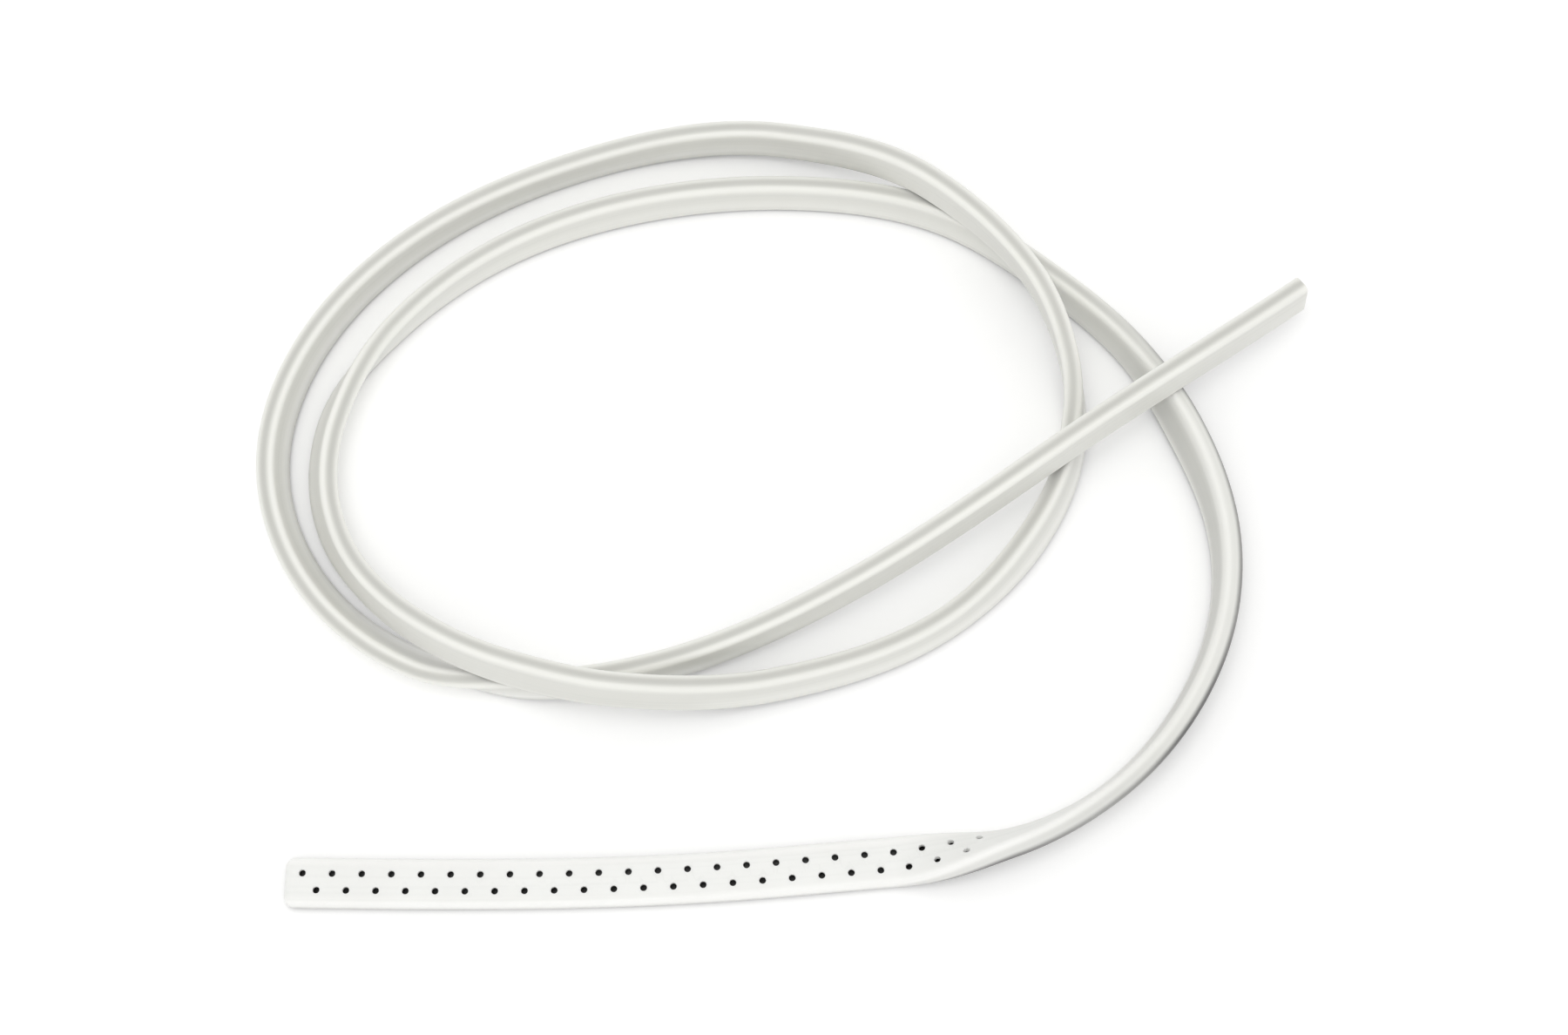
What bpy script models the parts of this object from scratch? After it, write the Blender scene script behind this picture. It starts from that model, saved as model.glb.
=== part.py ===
"""Flat silicone wound drain: one hollow strip, closed and perforated at one end, cut square at the other.

The strip lies loosely wound: its perforated end flat on the surface, the rest mostly standing on
its narrow edge, and it passes over itself four times. Units are metres, +Z is up.
"""

import math

import bmesh
import bpy
import numpy as np
from mathutils import Matrix

# Section of the strip
STRIP_WIDTH = 0.0100
STRIP_THICKNESS = 0.0040
EDGE_RADIUS = 0.0012
WALL = 0.0010
LUMEN_RADIUS = 0.0008
RIB_WIDTH = 0.0008
RIB_HEIGHT = 0.0004

# Closed end: how far its corners are rounded seen from above, and from the side
NOSE_RADIUS = 0.0018
NOSE_ROUNDING = 0.0010
END_WALL = 0.0020

# Drain holes, in two staggered rows through the upper broad wall
HOLE_DIAMETER = 0.0014
HOLE_PITCH = 0.0060
FIRST_HOLE = 0.0035
ROW_OFFSET = 0.0017
FAR_ROW_HOLES = 24
NEAR_ROW_HOLES = 23

# How the strip lies
CROSSING_GAP = 0.0004

# Facets
EDGE_STEPS = 4
LUMEN_STEPS = 2
NOSE_STEPS = 4
HOLE_SIDES = 10
CURVE_SAMPLES = 4000
SECTIONS = 118
TWIST_SHARE = 0.6
LEAST_NEED = 1.2

SILICONE_COLOUR = (0.80, 0.81, 0.77, 1.0)
SILICONE_ROUGHNESS = 0.38

# Middle of the lay on the surface, in millimetres: the origin is under it.
LAY_CENTRE = (0.4, 2.1)

# The route from the closed end to the cut end, chosen by hand: place on the surface in
# millimetres, turn of the broad side in degrees (0 lies flat, -90 stands on its edge), and level,
# where 1 clears a strip that stands on its edge below.
ROUTE = (
    (-100.9, -78.5, 0, 0.0),
    (-59.9, -78.8, 0, 0.0),
    (-10.5, -77.1, 0, 0.0),
    (20.1, -74.5, 0, 0.0),
    (46.5, -70.7, -65, 0.0),
    (67.6, -59.8, -79, 0.0),
    (83.9, -41.2, -80, 0.0),
    (92.0, -20.0, -81, 0.0),
    (91.9, -1.4, -76, 0.0),
    (85.4, 17.9, -67, 0.0),
    (74.9, 35.8, -81, 0.0),
    (56.5, 53.3, -85, 0.0),
    (36.2, 66.6, -86, 0.0),
    (7.1, 72.9, -87, 0.0),
    (-30.4, 70.3, -86, 0.0),
    (-61.0, 59.3, -89, 0.0),
    (-83.6, 41.4, -97, 0.0),
    (-96.2, 20.0, -118, 0.0),
    (-95.6, -2.6, -112, 0.06),
    (-85.6, -18.7, -103, 0.46),
    (-68.5, -31.9, -103, 0.98),
    (-51.4, -38.3, -104, 1.0),
    (-35.6, -41.3, -102, 0.95),
    (-1.7, -38.2, -100, 0.12),
    (33.7, -24.7, -100, 0.0),
    (52.4, -5.9, -108, 0.0),
    (61.2, 14.4, -107, 0.02),
    (60.8, 31.9, -96, 0.4),
    (52.3, 50.7, -95, 0.94),
    (31.4, 70.9, -88, 0.97),
    (0.1, 84.8, -87, 0.2),
    (-47.6, 78.7, -92, 0.0),
    (-81.2, 60.6, -87, 0.0),
    (-102.3, 35.6, -82, 0.0),
    (-108.3, 10.0, -76, 0.0),
    (-97.4, -17.7, -66, 0.0),
    (-75.3, -33.6, -59, 0.0),
    (-50.8, -37.8, -95, 0.0),
    (-25.2, -34.1, -95, 0.08),
    (14.4, -18.0, -96, 0.6),
    (61.3, 12.4, -97, 1.07),
    (110.4, 46.6, -98, 0.62),
)


def clear_scene():
    for old in list(bpy.data.objects):
        bpy.data.objects.remove(old, do_unlink=True)


def silicone_material():
    material = bpy.data.materials.new("translucent_silicone")
    material.use_nodes = True
    shader = material.node_tree.nodes["Principled BSDF"]
    shader.inputs["Base Color"].default_value = SILICONE_COLOUR
    shader.inputs["Roughness"].default_value = SILICONE_ROUGHNESS
    shader.inputs["Metallic"].default_value = 0.0
    return material


def natural_spline(knots, values, at):
    """Cubic through the values at the knots, with no bending at its two ends."""
    gaps = np.diff(knots)
    slopes = np.diff(values, axis=0) / gaps[:, None]
    system = np.eye(len(knots))
    right_side = np.zeros_like(values)
    for i in range(1, len(knots) - 1):
        system[i, i - 1 : i + 2] = gaps[i - 1], 2 * (gaps[i - 1] + gaps[i]), gaps[i]
        right_side[i] = 6 * (slopes[i] - slopes[i - 1])
    bends = np.linalg.solve(system, right_side)
    span = np.clip(np.searchsorted(knots, at) - 1, 0, len(gaps) - 1)
    gap = gaps[span][:, None]
    before = (at - knots[span])[:, None]
    after = gap - before
    cubic = (bends[span] * after**3 + bends[span + 1] * before**3) / (6 * gap)
    start = (values[span] / gap - bends[span] * gap / 6) * after
    end = (values[span + 1] / gap - bends[span + 1] * gap / 6) * before
    return cubic + start + end


def steady_curve(knots, values, at):
    """Cubic through the values that never passes above or below its two neighbours."""
    gaps = np.diff(knots)
    slopes = np.diff(values) / gaps
    turns = np.zeros(len(knots))
    same_way = slopes[:-1] * slopes[1:] > 0
    weight_a = 2 * gaps[1:] + gaps[:-1]
    weight_b = gaps[1:] + 2 * gaps[:-1]
    safe_a = np.where(same_way, slopes[:-1], 1.0)
    safe_b = np.where(same_way, slopes[1:], 1.0)
    mean = (weight_a + weight_b) / (weight_a / safe_a + weight_b / safe_b)
    turns[1:-1] = np.where(same_way, mean, 0.0)
    span = np.clip(np.searchsorted(knots, at) - 1, 0, len(gaps) - 1)
    gap = gaps[span]
    t = (at - knots[span]) / gap
    first = values[span] * (1 + 2 * t) * (1 - t) ** 2 + gap * turns[span] * t * (1 - t) ** 2
    second = values[span + 1] * t**2 * (3 - 2 * t) - gap * turns[span + 1] * t**2 * (1 - t)
    return first + second


def half_height(turn):
    """Height of the section's middle above its lowest point when it is turned by this angle."""
    across = (STRIP_WIDTH / 2 - EDGE_RADIUS) * np.abs(np.sin(turn))
    through = (STRIP_THICKNESS / 2 - EDGE_RADIUS) * np.abs(np.cos(turn))
    return across + through + EDGE_RADIUS


def centre_line():
    """Dense points of the route with their turn, and the length along it at each."""
    route = np.array(ROUTE, float)
    plan = (route[:, :2] - LAY_CENTRE) / 1000
    knots = np.concatenate([[0], np.cumsum(np.hypot(*np.diff(plan, axis=0).T))])
    at = np.linspace(0, knots[-1], CURVE_SAMPLES)
    turn = np.radians(steady_curve(knots, route[:, 2], at))
    level = steady_curve(knots, route[:, 3], at)
    height = half_height(turn) + level * (STRIP_WIDTH + CROSSING_GAP)
    points = np.column_stack([natural_spline(knots, plan, at), height])
    steps = np.linalg.norm(np.diff(points, axis=0), axis=1)
    return points, turn, np.concatenate([[0], np.cumsum(steps)])


class Lay:
    """The laid strip: where its middle is, and which way its section faces, at any length along it."""

    def __init__(self):
        self.points, self.turn, self.along = centre_line()
        self.length = self.along[-1]
        self.tangents = np.gradient(self.points, self.along, axis=0)

    def frame_at(self, distance):
        """Middle, width direction, face direction and tangent at a distance from the closed end."""
        middle = np.array([np.interp(distance, self.along, c) for c in self.points.T])
        tangent = np.array([np.interp(distance, self.along, c) for c in self.tangents.T])
        tangent /= np.linalg.norm(tangent)
        turn = np.interp(distance, self.along, self.turn)
        left = np.array([-tangent[1], tangent[0], 0.0])
        left /= np.linalg.norm(left)
        rise = np.cross(tangent, left)
        width_way = math.cos(turn) * left + math.sin(turn) * rise
        face_way = math.cos(turn) * rise - math.sin(turn) * left
        return middle, width_way, face_way, tangent


def corner_arcs(width, thickness, radius, steps):
    """Four corner arcs of a rounded rectangle, anticlockwise from its +width side."""
    centre = (width / 2 - radius, thickness / 2 - radius)
    arcs = []
    for quarter, (side_w, side_t) in enumerate(((1, 1), (-1, 1), (-1, -1), (1, -1))):
        arc = []
        for step in range(steps + 1):
            angle = math.radians(90) * (quarter + step / steps)
            across = side_w * centre[0] + radius * math.cos(angle)
            through = side_t * centre[1] + radius * math.sin(angle)
            arc.append((across, through))
        arcs.append(arc)
    return arcs


def outer_section(narrowing=0.0, thinning=0.0):
    """Outline of the strip, drawn in by these amounts at its edges and on its broad sides."""
    width, thickness = STRIP_WIDTH - 2 * narrowing, STRIP_THICKNESS - 2 * thinning
    arcs = corner_arcs(width, thickness, EDGE_RADIUS - thinning, EDGE_STEPS)
    return [point for arc in arcs for point in arc]


def lumen_section():
    """Bore of the strip: a rounded slot with one low rib along the middle of each broad wall."""
    width = STRIP_WIDTH - 2 * WALL
    thickness = STRIP_THICKNESS - 2 * WALL
    arcs = corner_arcs(width, thickness, LUMEN_RADIUS, LUMEN_STEPS)
    half, root = RIB_WIDTH / 2, thickness / 2
    tip = root - RIB_HEIGHT
    upper_rib = [(half, root), (half, tip), (-half, tip), (-half, root)]
    lower_rib = [(-across, -through) for across, through in upper_rib]
    return arcs[0] + upper_rib + arcs[1] + arcs[2] + lower_rib + arcs[3]


def place_ring(bm, lay, distance, section):
    middle, width_way, face_way, _ = lay.frame_at(distance)
    return [bm.verts.new(middle + a * width_way + b * face_way) for a, b in section]


def join_rings(bm, rings):
    for ring, following in zip(rings, rings[1:]):
        for i in range(len(ring)):
            j = (i + 1) % len(ring)
            bm.faces.new((ring[i], ring[j], following[j], following[i]))


def nose_rings(bm, lay):
    """Rings from the closed end to the full outline, which follow a quarter round from above."""
    rings = []
    for step in range(NOSE_STEPS):
        angle = math.radians(90) * step / NOSE_STEPS
        drawn_in = 1 - math.sin(angle)
        section = outer_section(NOSE_RADIUS * drawn_in, NOSE_ROUNDING * drawn_in)
        rings.append(place_ring(bm, lay, NOSE_RADIUS * (1 - math.cos(angle)), section))
    return rings


def body_stations(lay, start):
    """Distances along the strip up to its cut end, closer together where it bends or twists more."""
    bend = np.linalg.norm(np.gradient(lay.tangents, lay.along, axis=0), axis=1)
    twist = np.abs(np.gradient(lay.turn, lay.along))
    need = np.sqrt(bend + TWIST_SHARE * twist) + LEAST_NEED
    count = np.concatenate([[0], np.cumsum((need[1:] + need[:-1]) / 2 * np.diff(lay.along))])
    first = np.interp(start, lay.along, count)
    sections = 1 + math.ceil(SECTIONS * (count[-1] - first) / count[-1])
    return np.interp(np.linspace(first, count[-1], sections), count, lay.along)


def build_strip(lay, material):
    bm = bmesh.new()
    outer = nose_rings(bm, lay)
    outer += [place_ring(bm, lay, at, outer_section()) for at in body_stations(lay, NOSE_RADIUS)]
    lumen = [place_ring(bm, lay, at, lumen_section()) for at in body_stations(lay, END_WALL)]
    join_rings(bm, outer)
    join_rings(bm, lumen)
    bm.faces.new(outer[0])
    bm.faces.new(lumen[0])
    cut_end = [
        bm.edges.get((ring[i], ring[i - 1])) for ring in (outer[-1], lumen[-1]) for i in range(len(ring))
    ]
    bmesh.ops.triangle_fill(bm, use_beauty=True, edges=cut_end)
    bmesh.ops.triangulate(bm, faces=bm.faces)
    bmesh.ops.recalc_face_normals(bm, faces=bm.faces)
    return new_object("drain_tube", bm, material)


def drain_holes(lay, material):
    """One closed cylinder for each hole, from inside the lumen out through the upper broad wall."""
    bm = bmesh.new()
    rows = (
        (FAR_ROW_HOLES, FIRST_HOLE, ROW_OFFSET),
        (NEAR_ROW_HOLES, FIRST_HOLE + HOLE_PITCH / 2, -ROW_OFFSET),
    )
    depth = STRIP_THICKNESS / 2
    for count, first, offset in rows:
        for hole in range(count):
            middle, width_way, face_way, tangent = lay.frame_at(first + hole * HOLE_PITCH)
            centre = middle + offset * width_way + (depth / 2 + WALL / 2) * face_way
            pose = Matrix(np.column_stack([tangent, width_way, face_way]).tolist()).to_4x4()
            pose.translation = centre
            bmesh.ops.create_cone(
                bm,
                cap_ends=True,
                segments=HOLE_SIDES,
                radius1=HOLE_DIAMETER / 2,
                radius2=HOLE_DIAMETER / 2,
                depth=depth,
                matrix=pose,
            )
    bmesh.ops.recalc_face_normals(bm, faces=bm.faces)
    cutter = new_object("hole_cutter", bm, material)
    cutter.hide_render = True
    cutter.display_type = "WIRE"
    return cutter


def new_object(name, bm, material):
    mesh = bpy.data.meshes.new(name)
    bm.to_mesh(mesh)
    bm.free()
    mesh.materials.append(material)
    mesh.shade_smooth()
    mesh.set_sharp_from_angle(angle=math.radians(40))
    obj = bpy.data.objects.new(name, mesh)
    bpy.context.scene.collection.objects.link(obj)
    return obj


def main():
    clear_scene()
    material = silicone_material()
    lay = Lay()
    strip = build_strip(lay, material)
    cut = strip.modifiers.new("drain_holes", "BOOLEAN")
    cut.operation = "DIFFERENCE"
    cut.solver = "EXACT"
    cut.object = drain_holes(lay, material)


main()
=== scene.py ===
# %% [markdown]
# A flat silicone wound drain, lying loosely wound on a white surface
#
# The object is one soft hollow strip. One end is closed, lies flat and carries two rows of small
# holes; from there the strip rolls onto its narrow edge, goes round two and a bit loose loops,
# crosses itself four times and ends in a square cut. The measured frame is loaded first, so that
# everything made here lies exactly where the solid part lies.

import math

import bpy
import numpy as np
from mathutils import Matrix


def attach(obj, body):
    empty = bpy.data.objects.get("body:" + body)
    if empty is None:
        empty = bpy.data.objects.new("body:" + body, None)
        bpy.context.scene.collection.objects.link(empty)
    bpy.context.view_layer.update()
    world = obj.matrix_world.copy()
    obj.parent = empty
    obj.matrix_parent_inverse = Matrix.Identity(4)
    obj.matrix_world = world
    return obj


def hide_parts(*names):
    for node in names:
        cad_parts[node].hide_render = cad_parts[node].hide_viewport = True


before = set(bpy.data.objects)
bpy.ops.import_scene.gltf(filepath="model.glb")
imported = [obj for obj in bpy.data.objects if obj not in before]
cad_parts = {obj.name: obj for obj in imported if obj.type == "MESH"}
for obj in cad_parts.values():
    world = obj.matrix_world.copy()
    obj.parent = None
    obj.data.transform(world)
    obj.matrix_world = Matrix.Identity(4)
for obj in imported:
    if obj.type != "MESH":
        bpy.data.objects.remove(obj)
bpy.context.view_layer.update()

# %% [markdown]
# The camera comes first, because every later choice is judged through it. It looks down steeply,
# 72 degrees above the surface, from a little over half a metre away. At that distance the far
# side of the loops is drawn clearly smaller than the near end, as it is in a close photograph.

# %% Camera
MM = 0.001
AIM = np.array([-0.4, -2.1, 0.0]) * MM
CAMERA_ELEVATION = math.radians(72)
CAMERA_DISTANCE = 560 * MM
PHOTO_WIDTH = 1800
FOCAL_PIXELS = 3024
SENSOR_WIDTH = 36.0


def camera_looking_at(point, elevation, distance):
    """Eye = point + distance * (0, -cos elevation, sin elevation), turned to face the point."""
    data = bpy.data.cameras.new("photo_camera")
    data.sensor_width = SENSOR_WIDTH
    data.lens = SENSOR_WIDTH * FOCAL_PIXELS / PHOTO_WIDTH
    camera = bpy.data.objects.new("photo_camera", data)
    camera.location = point + distance * np.array([0, -math.cos(elevation), math.sin(elevation)])
    camera.rotation_euler = (math.pi / 2 - elevation, 0, 0)
    bpy.context.scene.collection.objects.link(camera)
    return camera


bpy.context.scene.camera = camera_looking_at(AIM, CAMERA_ELEVATION, CAMERA_DISTANCE)
print("lens", round(bpy.context.scene.camera.data.lens, 1), "mm")

# %% [markdown]
# The strip is a real length of something flexible, so its route comes before its surface. Each
# row is a place on the surface in metres, the turn of the broad side in degrees (0 lies flat,
# -90 stands on its edge) and a level, where 1 just clears another strip standing below.

# %% Route of the strip
ROUTE = np.array(
    [
        (-0.1013, -0.0806, 0, 0.0),
        (-0.0603, -0.0809, 0, 0.0),
        (-0.0109, -0.0792, 0, 0.0),
        (0.0197, -0.0766, 0, 0.0),
        (0.0461, -0.0728, -65, 0.0),
        (0.0672, -0.0619, -79, 0.0),
        (0.0835, -0.0433, -80, 0.0),
        (0.0916, -0.0221, -81, 0.0),
        (0.0915, -0.0035, -76, 0.0),
        (0.0850, 0.0158, -67, 0.0),
        (0.0745, 0.0337, -81, 0.0),
        (0.0561, 0.0512, -85, 0.0),
        (0.0358, 0.0645, -86, 0.0),
        (0.0067, 0.0708, -87, 0.0),
        (-0.0308, 0.0682, -86, 0.0),
        (-0.0614, 0.0572, -89, 0.0),
        (-0.0840, 0.0393, -97, 0.0),
        (-0.0966, 0.0179, -118, 0.0),
        (-0.0960, -0.0047, -112, 0.06),
        (-0.0860, -0.0208, -103, 0.46),
        (-0.0689, -0.0340, -103, 0.98),
        (-0.0518, -0.0404, -104, 1.0),
        (-0.0360, -0.0434, -102, 0.95),
        (-0.0021, -0.0403, -100, 0.12),
        (0.0333, -0.0268, -100, 0.0),
        (0.0520, -0.0080, -108, 0.0),
        (0.0608, 0.0123, -107, 0.02),
        (0.0604, 0.0298, -96, 0.4),
        (0.0519, 0.0486, -95, 0.94),
        (0.0310, 0.0688, -88, 0.97),
        (-0.0003, 0.0827, -87, 0.2),
        (-0.0480, 0.0766, -92, 0.0),
        (-0.0816, 0.0585, -87, 0.0),
        (-0.1027, 0.0335, -82, 0.0),
        (-0.1087, 0.0079, -76, 0.0),
        (-0.0978, -0.0198, -66, 0.0),
        (-0.0757, -0.0357, -59, 0.0),
        (-0.0512, -0.0399, -95, 0.0),
        (-0.0256, -0.0362, -95, 0.08),
        (0.0140, -0.0201, -96, 0.6),
        (0.0609, 0.0103, -97, 1.07),
        (0.1100, 0.0445, -98, 0.62),
    ]
)
print(len(ROUTE), "rows, from the closed end to the cut end")

# %% [markdown]
# The rows are joined by two kinds of curve: a natural cubic for the place, which bends evenly as
# an elastic strip does, and a monotone cubic for turn and level, which never overshoots, so
# the strip does not dip through the surface between two rows.

# %% Curves between the rows


def natural_cubic(knots, values, at):
    """Cubic through the values, with continuous bending and no bending at its two ends.

    The bends m solve g0*m0 + 2*(g0 + g1)*m1 + g1*m2 = 6*(slope1 - slope0) at each inner knot.
    """
    gaps = np.diff(knots)
    slopes = np.diff(values, axis=0) / gaps[:, None]
    system = np.eye(len(knots))
    right_side = np.zeros_like(values)
    inner = np.arange(1, len(knots) - 1)
    system[inner, inner - 1] = gaps[:-1]
    system[inner, inner] = 2 * (gaps[:-1] + gaps[1:])
    system[inner, inner + 1] = gaps[1:]
    right_side[inner] = 6 * np.diff(slopes, axis=0)
    bends = np.linalg.solve(system, right_side)
    span = np.clip(np.searchsorted(knots, at) - 1, 0, len(gaps) - 1)
    gap = gaps[span][:, None]
    before = (at - knots[span])[:, None]
    after = gap - before
    cubic = (bends[span] * after**3 + bends[span + 1] * before**3) / (6 * gap)
    start = (values[span] / gap - bends[span] * gap / 6) * after
    end = (values[span + 1] / gap - bends[span + 1] * gap / 6) * before
    return cubic + start + end


def steady_cubic(knots, values, at):
    """Cubic that stays between neighbouring values, with t from 0 to 1 in each gap.

    The slope at a knot is (wa + wb) / (wa/sa + wb/sb), and 0 where the values turn round.
    """
    gaps = np.diff(knots)
    slopes = np.diff(values) / gaps
    same_way = slopes[:-1] * slopes[1:] > 0
    weight_a = 2 * gaps[1:] + gaps[:-1]
    weight_b = gaps[1:] + 2 * gaps[:-1]
    safe_a = np.where(same_way, slopes[:-1], 1.0)
    safe_b = np.where(same_way, slopes[1:], 1.0)
    mean = (weight_a + weight_b) / (weight_a / safe_a + weight_b / safe_b)
    turns = np.concatenate([[0], np.where(same_way, mean, 0.0), [0]])
    span = np.clip(np.searchsorted(knots, at) - 1, 0, len(gaps) - 1)
    gap = gaps[span]
    t = (at - knots[span]) / gap
    first = values[span] * (1 + 2 * t) * (1 - t) ** 2 + gap * turns[span] * t * (1 - t) ** 2
    second = values[span + 1] * t**2 * (3 - 2 * t) - gap * turns[span + 1] * t**2 * (1 - t)
    return first + second


half_way = steady_cubic(np.array([0.0, 1.0, 2.0]), np.array([0.0, 1.0, 1.0]), np.array([0.5, 1.5]))
print("a climb that levels off passes", half_way.round(3), "and never more than 1")

# %% [markdown]
# How high the middle of the strip lies depends on its turn: flat it is half a thickness up, on
# its edge half a width. The rounded corners take a little off in between. A level lifts it by one
# width and a small gap, enough to pass over a strand that stands below.

# %% Middle line
STRIP_WIDTH = 10.0 * MM
STRIP_THICKNESS = 4.0 * MM
EDGE_RADIUS = 1.2 * MM
CROSSING_GAP = 0.4 * MM
CURVE_SAMPLES = 4000


def half_height(turn):
    """Height of the middle over the lowest point: (W/2-R)|sin| + (T/2-R)|cos| + R."""
    across = (STRIP_WIDTH / 2 - EDGE_RADIUS) * np.abs(np.sin(turn))
    through = (STRIP_THICKNESS / 2 - EDGE_RADIUS) * np.abs(np.cos(turn))
    return across + through + EDGE_RADIUS


def centre_line(route):
    """Points of the middle line, the turn and level at each, and the length along it."""
    knots = np.concatenate([[0], np.cumsum(np.hypot(*np.diff(route[:, :2], axis=0).T))])
    at = np.linspace(0, knots[-1], CURVE_SAMPLES)
    turn = np.radians(steady_cubic(knots, route[:, 2], at))
    level = steady_cubic(knots, route[:, 3], at)
    height = half_height(turn) + level * (STRIP_WIDTH + CROSSING_GAP)
    points = np.column_stack([natural_cubic(knots, route[:, :2], at), height])
    steps = np.linalg.norm(np.diff(points, axis=0), axis=1)
    return points, turn, level, np.concatenate([[0], np.cumsum(steps)])


LINE, TURN, LEVEL, ALONG = centre_line(ROUTE)
LENGTH = float(ALONG[-1])
TANGENTS = np.gradient(LINE, ALONG, axis=0)
print("strip is", round(LENGTH, 3), "m long")

# %% [markdown]
# A strip that twists needs a full frame at every point of its route, not only a direction: which
# way its width points and which way its perforated face looks. Both start level and are turned
# about the direction of travel by the angle in the route.

# %% Frame along the route


def sample(table, at):
    return np.column_stack([np.interp(at, ALONG, column) for column in table.T])


def unit(vectors):
    return vectors / np.linalg.norm(vectors, axis=1)[:, None]


def frames(at):
    """Middle, width direction, face direction and tangent at each distance from the closed end.

    left = up x tangent, rise = tangent x left,
    width = cos(turn)*left + sin(turn)*rise, face = cos(turn)*rise - sin(turn)*left.
    """
    tangent = unit(sample(TANGENTS, at))
    left = unit(np.column_stack([-tangent[:, 1], tangent[:, 0], np.zeros(len(at))]))
    rise = np.cross(tangent, left)
    turn = np.interp(at, ALONG, TURN)[:, None]
    width_way = np.cos(turn) * left + np.sin(turn) * rise
    face_way = np.cos(turn) * rise - np.sin(turn) * left
    return sample(LINE, at), width_way, face_way, tangent


def carry(section, at):
    """Section points (a, b) carried along: middle + a*width + b*face, at each distance."""
    middle, width_way, face_way, _ = frames(at)
    across, through = section[..., 0, None], section[..., 1, None]
    return middle[:, None] + across * width_way[:, None] + through * face_way[:, None]


_, last_width_way, last_face_way, _ = frames(ALONG[-1:])
print("cut end: width points", last_width_way[0].round(2), "face looks", last_face_way[0].round(2))

# %% [markdown]
# The cross-section is what makes this a flat drain and not a round tube: 10 mm wide, 4 mm thick,
# flat on its broad sides and on its narrow edges, with a small round between them, and a slot of
# a bore inside. A low rib runs along each broad wall of the bore and keeps it open when pressed.
# Outer outline and bore get the same number of points, so that plain quads close the cut end.

# %% Cross-section
WALL = 1.0 * MM
BORE_RADIUS = 0.8 * MM
RIB_WIDTH = 0.8 * MM
RIB_HEIGHT = 0.4 * MM
ARC_STEPS = 6
BROAD_SIDE_PLACES = np.array([0.8, 0.3, -0.3, -0.8])


def rounded_outline(width, thickness, radius, middle_points):
    """Rounded rectangle, anticlockwise: centre + r*(cos, sin) in four arcs, joined by more points.

    The middle points lie on the upper broad side, and their opposites on the lower one.
    """
    angle = np.radians(90) * np.linspace(0, 1, ARC_STEPS + 1)
    arcs = []
    for quarter, (side_w, side_t) in enumerate(((1, 1), (-1, 1), (-1, -1), (1, -1))):
        centre = np.array([side_w * (width / 2 - radius), side_t * (thickness / 2 - radius)])
        swept = angle + math.pi / 2 * quarter
        arcs.append(centre + radius * np.column_stack([np.cos(swept), np.sin(swept)]))
    return np.concatenate([arcs[0], middle_points, arcs[1], arcs[2], -middle_points, arcs[3]])


def outer_outline(narrowing=0.0, thinning=0.0):
    """Outline of the strip, drawn in by these amounts at its edges and on its broad sides."""
    width, thickness = STRIP_WIDTH - 2 * narrowing, STRIP_THICKNESS - 2 * thinning
    radius = EDGE_RADIUS - thinning
    spread = (width / 2 - radius) * BROAD_SIDE_PLACES
    middle = np.column_stack([spread, np.full(len(spread), thickness / 2)])
    return rounded_outline(width, thickness, radius, middle)


def bore_outline():
    width, thickness = STRIP_WIDTH - 2 * WALL, STRIP_THICKNESS - 2 * WALL
    half, root = RIB_WIDTH / 2, thickness / 2
    top = root - RIB_HEIGHT
    rib = np.array([(half, root), (half, top), (-half, top), (-half, root)])
    return rounded_outline(width, thickness, BORE_RADIUS, rib)


POINTS_ROUND = len(outer_outline())
print("points round the section", POINTS_ROUND)

# %% [markdown]
# The surface is a grid: one direction runs round the section, the other along the strip. Near
# the closed end the outline shrinks along a quarter circle, which rounds the tip over. The bore
# starts behind a solid end wall.

# %% Stations along the strip
NOSE_RADIUS = 1.8 * MM
NOSE_ROUNDING = 1.0 * MM
NOSE_STEPS = 8
END_WALL = 2.0 * MM
STATION_STEP = 1.25 * MM


def outside_stations():
    """Distances and outlines: r*(1 - cos a) along the tip, drawn in by r*(1 - sin a)."""
    sweep = np.linspace(0, math.pi / 2, NOSE_STEPS, endpoint=False)
    nose_at = NOSE_RADIUS * (1 - np.cos(sweep))
    drawn_in = 1 - np.sin(sweep)
    nose = [outer_outline(NOSE_RADIUS * part, NOSE_ROUNDING * part) for part in drawn_in]
    body_at = np.linspace(NOSE_RADIUS, LENGTH, round(LENGTH / STATION_STEP))
    body = np.broadcast_to(outer_outline(), (len(body_at), POINTS_ROUND, 2))
    return np.concatenate([nose_at, body_at]), np.concatenate([np.stack(nose), body])


def bore_stations():
    """Distances and outlines of the bore, from the end wall to the cut end."""
    at = np.linspace(END_WALL, LENGTH, round(LENGTH / STATION_STEP))
    return at, np.broadcast_to(bore_outline(), (len(at), POINTS_ROUND, 2))


OUTSIDE_AT, OUTSIDE = outside_stations()
BORE_AT, BORE = bore_stations()
print(len(OUTSIDE_AT), "stations outside and", len(BORE_AT), "in the bore")

# %% [markdown]
# Two grids, a ring of quads at the cut end, the tip and the blind end of the bore make one closed
# skin. The bore is wound the other way round, so that its normals point into the hollow, away
# from the silicone. Every point also keeps its place along and across the strip for the colours.

# %% Skin of the strip


def tube_faces(stations, points, first):
    """Quads (i,j),(i,j+1),(i+1,j+1),(i+1,j) of a grid that closes on itself round the section."""
    i, j = np.meshgrid(np.arange(stations - 1), np.arange(points), indexing="ij")
    following = (j + 1) % points
    here, ahead = i * points, (i + 1) * points
    corners = (here + j, here + following, ahead + following, ahead + j)
    return first + np.stack(corners, axis=-1).reshape(-1, 4)


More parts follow.
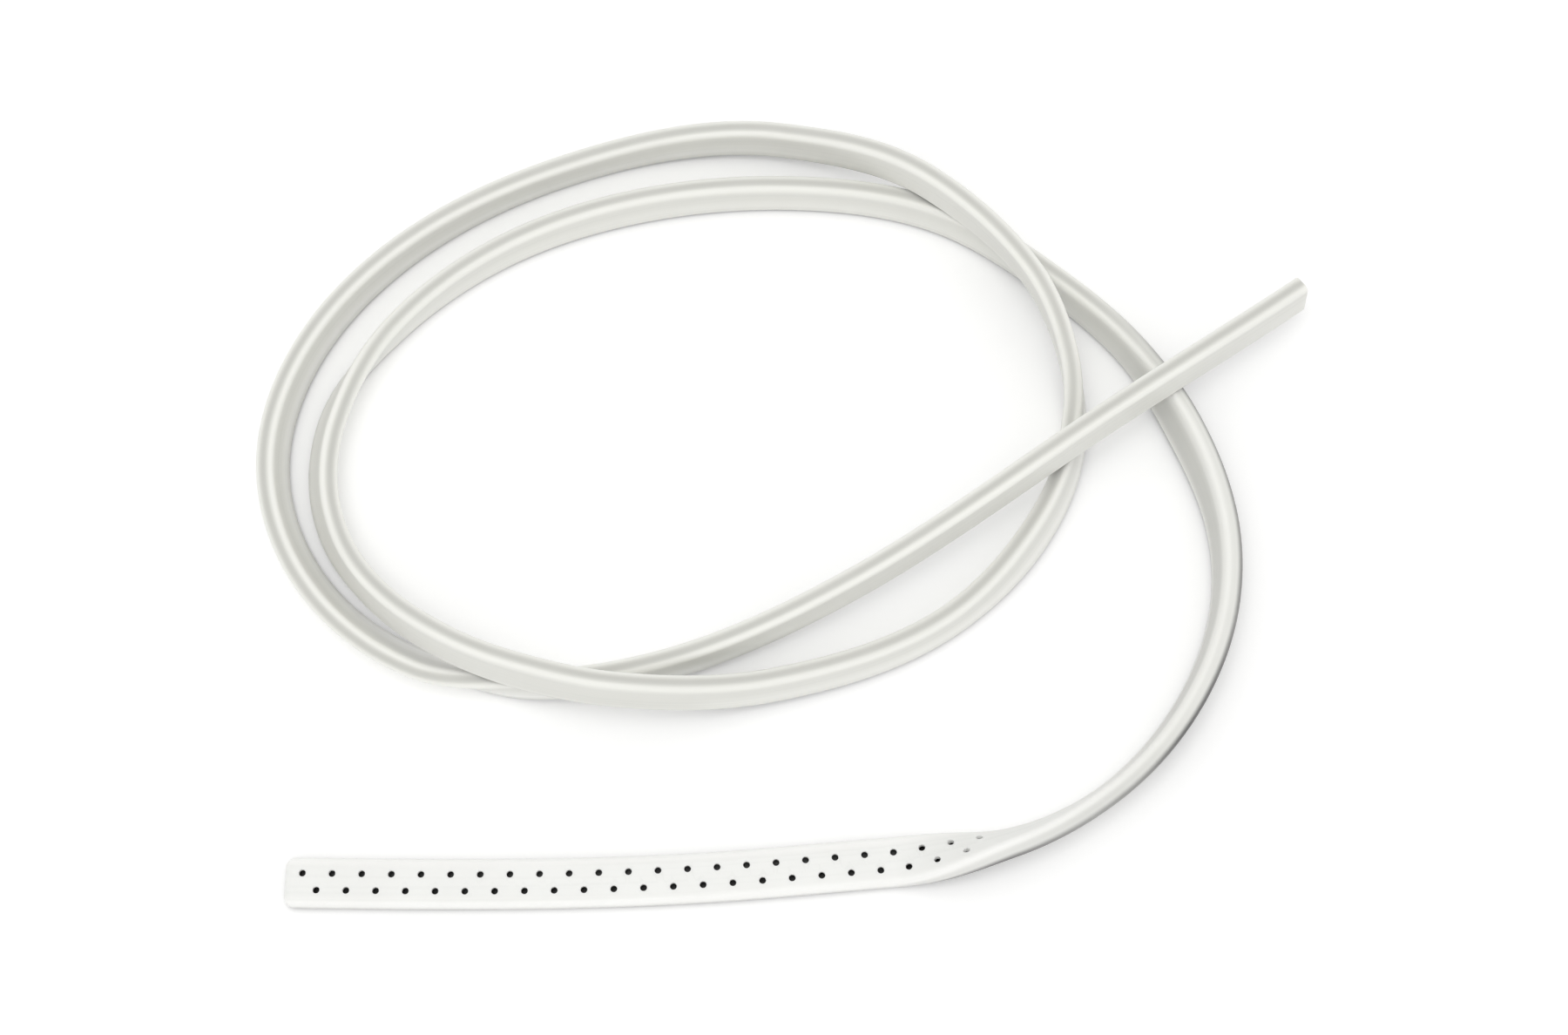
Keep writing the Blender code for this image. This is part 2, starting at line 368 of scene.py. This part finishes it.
def skin_faces(outside_rings, bore_rings):
    """Faces of the outside, the bore, the cut end, the tip and the blind end, in this order."""
    first_in = outside_rings * POINTS_ROUND
    last_out = first_in - POINTS_ROUND
    last_in = last_out + bore_rings * POINTS_ROUND
    ring = np.arange(POINTS_ROUND)
    step = (ring + 1) % POINTS_ROUND
    outside = tube_faces(outside_rings, POINTS_ROUND, 0)
    bore = tube_faces(bore_rings, POINTS_ROUND, first_in)[:, ::-1]
    cut_end = np.column_stack([last_out + ring, last_out + step, last_in + step, last_in + ring])
    caps = [ring[::-1].tolist(), (first_in + ring).tolist()]
    return np.concatenate([outside, bore, cut_end]).tolist() + caps


def skin_values():
    """Per point: distance along, place across and through, the level, and 1 on the bore."""
    distance = np.repeat(np.concatenate([OUTSIDE_AT, BORE_AT]), POINTS_ROUND)
    place = np.concatenate([OUTSIDE, BORE]).reshape(-1, 2)
    return {
        "along": distance,
        "across": place[:, 0],
        "through": place[:, 1],
        "level": np.interp(distance, ALONG, LEVEL),
        "inside": np.repeat([0.0, 1.0], np.array([len(OUTSIDE_AT), len(BORE_AT)]) * POINTS_ROUND),
    }


def mesh_object(name, points, faces, **attributes):
    mesh = bpy.data.meshes.new(name)
    mesh.from_pydata(points, [], faces)
    for label, values in attributes.items():
        made = mesh.attributes.new(label, "FLOAT", "POINT")
        made.data.foreach_set("value", values.astype(np.float32))
    mesh.shade_smooth()
    obj = bpy.data.objects.new(name, mesh)
    bpy.context.scene.collection.objects.link(obj)
    return obj


skin = np.concatenate([carry(OUTSIDE, OUTSIDE_AT), carry(BORE, BORE_AT)]).reshape(-1, 3)
skin_quads = skin_faces(len(OUTSIDE_AT), len(BORE_AT))
strip = mesh_object("drain_strip", skin, skin_quads, **skin_values())
print(len(strip.data.polygons), "faces before the holes are cut")

# %% [markdown]
# The holes are punched through one broad wall only, in two rows half a pitch apart. The cutters
# are one mesh of closed cylinders, each a circle carried a short way along the face direction.

# %% Hole cutters
HOLE_RADIUS = 0.7 * MM
HOLE_PITCH = 6.0 * MM
FIRST_HOLE = 3.5 * MM
ROW_OFFSET = 1.7 * MM
FAR_ROW_HOLES = 24
NEAR_ROW_HOLES = 23
HOLE_SIDES = 20
CUT_BEYOND = 0.5 * WALL


def hole_cutters():
    """Cylinders: centre + r*(cos*tangent + sin*width) at two depths along the face direction."""
    far = FIRST_HOLE + HOLE_PITCH * np.arange(FAR_ROW_HOLES)
    near = FIRST_HOLE + HOLE_PITCH / 2 + HOLE_PITCH * np.arange(NEAR_ROW_HOLES)
    at = np.concatenate([far, near])
    offset = np.repeat([ROW_OFFSET, -ROW_OFFSET], [len(far), len(near)])[:, None]
    middle, width_way, face_way, tangent = frames(at)
    angle = np.linspace(0, 2 * math.pi, HOLE_SIDES, endpoint=False)[None, :, None]
    circle = HOLE_RADIUS * (np.cos(angle) * tangent[:, None] + np.sin(angle) * width_way[:, None])
    base = (middle + offset * width_way)[:, None] + circle
    depths = [STRIP_THICKNESS / 2 - WALL - CUT_BEYOND, STRIP_THICKNESS / 2 + CUT_BEYOND]
    rings = np.stack([base + depth * face_way[:, None] for depth in depths], axis=1)
    starts = np.arange(len(at)) * 2 * HOLE_SIDES
    side = np.concatenate([tube_faces(2, HOLE_SIDES, first) for first in starts])
    ring = np.arange(HOLE_SIDES)
    floors = (starts[:, None] + ring[::-1]).tolist()
    lids = (starts[:, None] + HOLE_SIDES + ring).tolist()
    return rings.reshape(-1, 3), side.tolist() + floors + lids


cutter = mesh_object("hole_cutter", *hole_cutters())
print(FAR_ROW_HOLES + NEAR_ROW_HOLES, "cutters")

# %% [markdown]
# A Boolean gives each hole a real wall that catches light at its rim. Afterwards the cutters go,
# and only edges sharper than the given angle stay crisp: the rims, the ribs and the cut end.

# %% Cut the drain holes
CRISP_ANGLE = math.radians(40)


def apply_modifiers(obj):
    """Work the object's modifiers into its mesh, and drop the mesh it had before."""
    depsgraph = bpy.context.evaluated_depsgraph_get()
    mesh = bpy.data.meshes.new_from_object(obj.evaluated_get(depsgraph))
    obj.modifiers.clear()
    old, obj.data = obj.data, mesh
    bpy.data.meshes.remove(old)


cut = strip.modifiers.new("drain_holes", "BOOLEAN")
cut.operation = "DIFFERENCE"
cut.solver = "EXACT"
cut.object = cutter
apply_modifiers(strip)
bpy.data.objects.remove(cutter, do_unlink=True)
strip.data.shade_smooth()
strip.data.set_sharp_from_angle(angle=CRISP_ANGLE)
print(len(strip.data.polygons), "faces with the holes")

# %% [markdown]
# Shader networks are written as sums. One small class wraps a socket, so that a formula such as
# `1 - mask` adds its own Math node, and one method makes every other kind of node.

# %% Shader sums


def feed(node, **inputs):
    """Set inputs by name, with _ for a space, or by number, as in _0; a wire is linked instead."""
    for name, value in inputs.items():
        key = int(name[1:]) if name[1:].isdigit() else name.replace("_", " ")
        if isinstance(value, Wire):
            value.tree.links.new(value.socket, node.inputs[key])
        else:
            node.inputs[key].default_value = value


class Wire:
    """A value in a node tree: arithmetic on it adds Math nodes."""

    def __init__(self, tree, socket):
        self.tree, self.socket = tree, socket

    def node(self, kind, settings=(), **inputs):
        """A new node; settings are (name, value) pairs, inputs are given as in feed."""
        made = self.tree.nodes.new(kind)
        for name, value in settings:
            setattr(made, name, value)
        feed(made, **inputs)
        return made

    def math(self, operation, first, second):
        made = self.node("ShaderNodeMath", [("operation", operation)], _0=first, _1=second)
        return Wire(self.tree, made.outputs[0])

    def size(self):
        return self.math("ABSOLUTE", self, 0.0)

    def __add__(self, other):
        return self.math("ADD", self, other)

    def __sub__(self, other):
        return self.math("SUBTRACT", self, other)

    def __rsub__(self, other):
        return self.math("SUBTRACT", other, self)

    def __mul__(self, other):
        return self.math("MULTIPLY", self, other)

    __radd__ = __add__
    __rmul__ = __mul__

    def between(self, low, high):
        """0 below low, 1 above high, and a smooth step from one to the other."""
        settings = [("interpolation_type", "SMOOTHSTEP"), ("clamp", True)]
        made = self.node("ShaderNodeMapRange", settings, Value=self, From_Min=low, From_Max=high)
        return Wire(self.tree, made.outputs["Result"])

    def blend(self, first, second):
        """Colour first where this value is 0, colour second where it is 1."""
        settings = [("data_type", "RGBA"), ("clamp_factor", True)]
        made = self.node("ShaderNodeMix", settings, _0=self, _6=first, _7=second)
        return Wire(self.tree, made.outputs[2])


def new_material(name):
    material = bpy.data.materials.new(name)
    material.use_nodes = True
    tree = material.node_tree
    return material, tree, tree.nodes["Principled BSDF"]


print("shader sums ready")

# %% [markdown]
# Silicone of this kind is milky: light goes a little way in and comes out softened. What lies
# behind the surface decides how bright it looks, and here that light and shade are painted into
# the colour: the four corners get a painted highlight and look whitest, the thin walls over the
# bore get painted shade and look greyer, and the lower side gets painted light for the light that
# comes up from the white surface. The place in the section is stored on the mesh, so the colour
# can follow it. The perforated end, lying flat on white, is painted nearly white, and the bore is
# painted dark as shade, because no light reaches it.
#
# Each pair of numbers below is a ramp, 0 at the first and 1 at the second. Ramps along the strip
# tell where it lies flat, leans over and stands on its edge. Ramps across the section tell
# corners, broad walls and narrow edges apart. Where the strip leans, its inner wall gets a painted
# shade, soft from grey at the bottom to white at the top, its narrow edge is painted light, and
# its outer lower side gets a nearly black painted shadow, because little light gets under it. The
# same painted shadow runs along the lower edge of the coiled strip and under the flat end.

# %% Silicone tones
# Painted light and shade: three tone sets of one silicone colour, for the strip lying flat, coiled
# on its edge and leaning. The corner tone is a painted highlight; the thin and edge tones are
# painted shade, except the leaning edge tone, which is painted light.
FLAT_TONES = {
    "corner_highlight": (0.93, 0.93, 0.91, 1),
    "thin": (0.87, 0.875, 0.855, 1),
    "edge": (0.80, 0.80, 0.78, 1),
}
COIL_TONES = {
    "corner_highlight": (0.88, 0.88, 0.84, 1),
    "thin": (0.77, 0.77, 0.73, 1),
    "edge": (0.62, 0.62, 0.585, 1),
}
LEAN_TONES = {
    "corner_highlight": (0.87, 0.87, 0.84, 1),
    "thin": (0.64, 0.64, 0.61, 1),
    "edge": (0.81, 0.81, 0.78, 1),
}
# Painted light: the glow of the lower side, standing for light from the white surface below.
LIT_FROM_BELOW = (0.98, 0.98, 0.94, 1)
# Painted shadow: nearly black, under the flat end, along the lower edge and under the lean.
PAINTED_SHADOW_COLOUR = (0.10, 0.10, 0.10, 1)
CLOUD_COLOUR = (0.76, 0.74, 0.73, 1)
STREAK_COLOUR = (0.55, 0.56, 0.54, 1)
# Painted shade: the bore is coloured dark because no light reaches it.
BORE_PAINTED_SHADE = (0.05, 0.05, 0.048, 1)

# along the strip, in metres from the closed end
COIL_BEGINS = (0.120, 0.235)
LEAN_BEGINS = (0.16, 0.20)
LEAN_ENDS = (0.26, 0.30)
GLOW_GROWS = (0.55, 0.80)

# across the section, from its middle line
CORNER_ACROSS = (2.1 * MM, 4.7 * MM)
CORNER_THROUGH = (0.1 * MM, 1.6 * MM)
LOWER_EDGE = (3.8 * MM, 4.7 * MM)
OUTER_CORNER = (0.3 * MM, 1.6 * MM)
GLOW_ACROSS = (-2.5 * MM, 3.0 * MM)
LEAN_FADE = (-5.0 * MM, -0.5 * MM)

# of the level, and of the value that is 1 on the bore
LIFTED = (0.1, 0.8)
INSIDE_BORE = (0.92, 1.0)

# shares of the painted glow from below and of the painted shade under the lean
LEAST_GLOW = 0.45
LEAN_SHADE = 0.75


def stored(tree, name):
    """A value kept on the mesh, as a wire."""
    made = Wire(tree, None).node("ShaderNodeAttribute", [("attribute_name", name)])
    return Wire(tree, made.outputs["Fac"])


def noise(place, scale, detail):
    made = place.node("ShaderNodeTexNoise", Vector=place, Scale=scale, Detail=detail)
    return Wire(place.tree, made.outputs["Fac"])


def painted_light_and_shade(along, across, through, level):
    """Painted light and shade by the place in the section, in tones for lying, leaning or
    standing.
    """
    coiled = along.between(*COIL_BEGINS)
    leaning = along.between(*LEAN_BEGINS) * (1.0 - along.between(*LEAN_ENDS))
    # painted light and shade: tone sets blended by where the strip lies flat, coils or leans
    thin, edge, corner_highlight = [
        leaning.blend(coiled.blend(FLAT_TONES[part], COIL_TONES[part]), LEAN_TONES[part])
        for part in ("thin", "edge", "corner_highlight")
    ]
    # the corners, where both ramps are 1, get the painted highlight
    on_side = across.size().between(*CORNER_ACROSS)
    on_face = through.size().between(*CORNER_THROUGH)
    # painted glow from below, where the coiled strip rests on the surface, growing towards the cut
    # end
    grounded = (1.0 - level.between(*LIFTED)) * (1.0 - leaning) * coiled
    strength = LEAST_GLOW + (1.0 - LEAST_GLOW) * along.between(*GLOW_GROWS)
    glow = across.between(*GLOW_ACROSS) * grounded * strength
    # painted shade up the inner wall of the leaning stretch, fading to white light at the top
    fading = leaning * (1.0 - across.between(*LEAN_FADE))
    wide = fading.blend(glow.blend(thin, LIT_FROM_BELOW), corner_highlight)
    body = (on_side * on_face).blend(on_side.blend(wide, edge), corner_highlight)
    # painted shadow: under the flat end, along the lower edge of the coil, and under the lean
    under = (0.0 - through).between(*OUTER_CORNER)
    lower = across.between(*LOWER_EDGE)
    shaded = under + coiled * (lower - under) + leaning * under * LEAN_SHADE
    return shaded.blend(body, PAINTED_SHADOW_COLOUR)


print("tones for", ", ".join(COIL_TONES), "kept for a strip that lies, leans and stands")

# %% [markdown]
# Over the colour of the section lie two faint irregularities, soft clouds and fine streaks drawn
# out along the strip, and a very fine grain that breaks the gloss. Silicone bends light less than
# glass does (index 1.41), and light travels just under a millimetre inside it.

# %% Silicone material
CLOUD_SCALE = 60.0
CLOUD_RANGE = (0.3, 0.7)
STREAK_SCALE = 1100.0
STREAK_RANGE = (0.45, 0.75)
STREAK_STRETCH = 0.01
GRAIN_SCALE = 900.0
TINT = 0.10
GRAIN_STRENGTH = 0.10
GRAIN_HEIGHT = 0.2 * MM
SMOOTHEST = 0.33
CLOUDY_ROUGHNESS = 0.08
SCATTER_SHARE = 0.8
SCATTER_DEPTH = 0.9 * MM
REFRACTION = 1.41


def silicone():
    material, tree, shader = new_material("milky_silicone")
    along, across, through = stored(tree, "along"), stored(tree, "across"), stored(tree, "through")
    colour = painted_light_and_shade(along, across, through, stored(tree, "level"))
    place = Wire(tree, along.node("ShaderNodeTexCoord").outputs["Object"])
    stretched = along.node("ShaderNodeCombineXYZ", X=across, Y=through, Z=along * STREAK_STRETCH)
    clouds = noise(place, CLOUD_SCALE, 1.0)
    grain = noise(place, GRAIN_SCALE, 1.0)
    streaks = noise(Wire(tree, stretched.outputs[0]), STREAK_SCALE, 1.0)
    clouded = (clouds.between(*CLOUD_RANGE) * TINT).blend(colour, CLOUD_COLOUR)
    streaked = (streaks.between(*STREAK_RANGE) * TINT).blend(clouded, STREAK_COLOUR)
    size = {"Strength": GRAIN_STRENGTH, "Distance": GRAIN_HEIGHT}
    bump = grain.node("ShaderNodeBump", Height=grain, **size)
    # the bore is coloured with painted shade
    feed(
        shader,
        Base_Color=stored(tree, "inside").between(*INSIDE_BORE).blend(streaked, BORE_PAINTED_SHADE),
        Roughness=SMOOTHEST + CLOUDY_ROUGHNESS * clouds,
        Subsurface_Weight=SCATTER_SHARE,
        Subsurface_Radius=(1, 1, 1),
        Subsurface_Scale=SCATTER_DEPTH,
        Normal=Wire(tree, bump.outputs["Normal"]),
        IOR=REFRACTION,
    )
    return material


strip.data.materials.clear()
strip.data.materials.append(silicone())
print(len(strip.data.materials[0].node_tree.nodes), "nodes in the silicone")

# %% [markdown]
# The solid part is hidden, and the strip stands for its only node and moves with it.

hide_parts("drain_tube")
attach(strip, "root")
PATH_STEP = 2 * MM
path = sample(LINE, np.arange(0, LENGTH, PATH_STEP)).tolist() + [LINE[-1].tolist()]
print("declared with", len(path), "points of its middle line")

# %% [markdown]
# The surface below is plain and white. It still has to show the soft shadow beside the strip, so
# it stays an ordinary matt surface, and a little light of its own, seen by the camera only,
# lifts it to paper white where nothing shades it.

# %% Floor
FLOOR_HALF = 3.0
FLOOR_COLOUR = (0.95, 0.95, 0.95, 1)
FLOOR_GLOW = 0.13
FLOOR_ROUGHNESS = 0.9
PAPER_COLOUR = (0.8, 0.8, 0.8, 1)
PAPER_SCALE = 40.0
PAPER_SHARE = 0.02


def floor_material():
    material, tree, shader = new_material("white_surface")
    start = Wire(tree, None)
    seen = Wire(tree, start.node("ShaderNodeLightPath").outputs["Is Camera Ray"])
    place = Wire(tree, start.node("ShaderNodeTexCoord").outputs["Object"])
    paper = noise(place, PAPER_SCALE, 2.0)
    feed(
        shader,
        Base_Color=(paper * PAPER_SHARE).blend(FLOOR_COLOUR, PAPER_COLOUR),
        Roughness=FLOOR_ROUGHNESS,
        Specular_IOR_Level=0.0,
        Emission_Color=(seen * FLOOR_GLOW).blend((0, 0, 0, 1), (1, 1, 1, 1)),
        Emission_Strength=1.0,
    )
    return material


corners = FLOOR_HALF * np.array([(-1, -1, 0), (1, -1, 0), (1, 1, 0), (-1, 1, 0)], float)
floor = mesh_object("floor", corners.tolist(), [(0, 1, 2, 3)])
floor.data.materials.append(floor_material())
print("floor reaches", FLOOR_HALF, "m to each side")

# %% [markdown]
# Most of the light is an even surround, as under a wide white ceiling, which keeps the shadows
# pale. A lamp hung almost straight above, a little to the left and towards the viewer, adds the
# short soft shadow beside each strand; a weaker one low at the front right brightens the sides
# that face the viewer.

# %% Light
OVERHEAD_PLACE = (-0.10, -0.10, 1.00)
OVERHEAD_SIZE = 0.5
OVERHEAD_WATTS = 2.2
FRONT_PLACE = (0.45, -0.85, 0.45)
FRONT_SIZE = 0.4
FRONT_WATTS = 0.8
SURROUND_COLOUR = (1.0, 1.0, 0.99, 1)
SURROUND_STRENGTH = 0.80


def area_lamp(name, place, size, watts):
    """A square lamp at a place, turned to face the origin."""
    data = bpy.data.lights.new(name, "AREA")
    data.size = size
    data.energy = watts
    lamp = bpy.data.objects.new(name, data)
    x, y, z = place
    lamp.location = place
    lamp.rotation_euler = (math.atan2(math.hypot(x, y), z), 0, math.atan2(x, -y))
    bpy.context.scene.collection.objects.link(lamp)
    return lamp


overhead = area_lamp("overhead_lamp", OVERHEAD_PLACE, OVERHEAD_SIZE, OVERHEAD_WATTS)
front = area_lamp("front_lamp", FRONT_PLACE, FRONT_SIZE, FRONT_WATTS)
world = bpy.data.worlds.new("even_surround")
world.use_nodes = True
feed(world.node_tree.nodes["Background"], Color=SURROUND_COLOUR, Strength=SURROUND_STRENGTH)
bpy.context.scene.world = world
bpy.context.scene.view_settings.view_transform = "Standard"
print("lit by", overhead.name, "and", front.name)
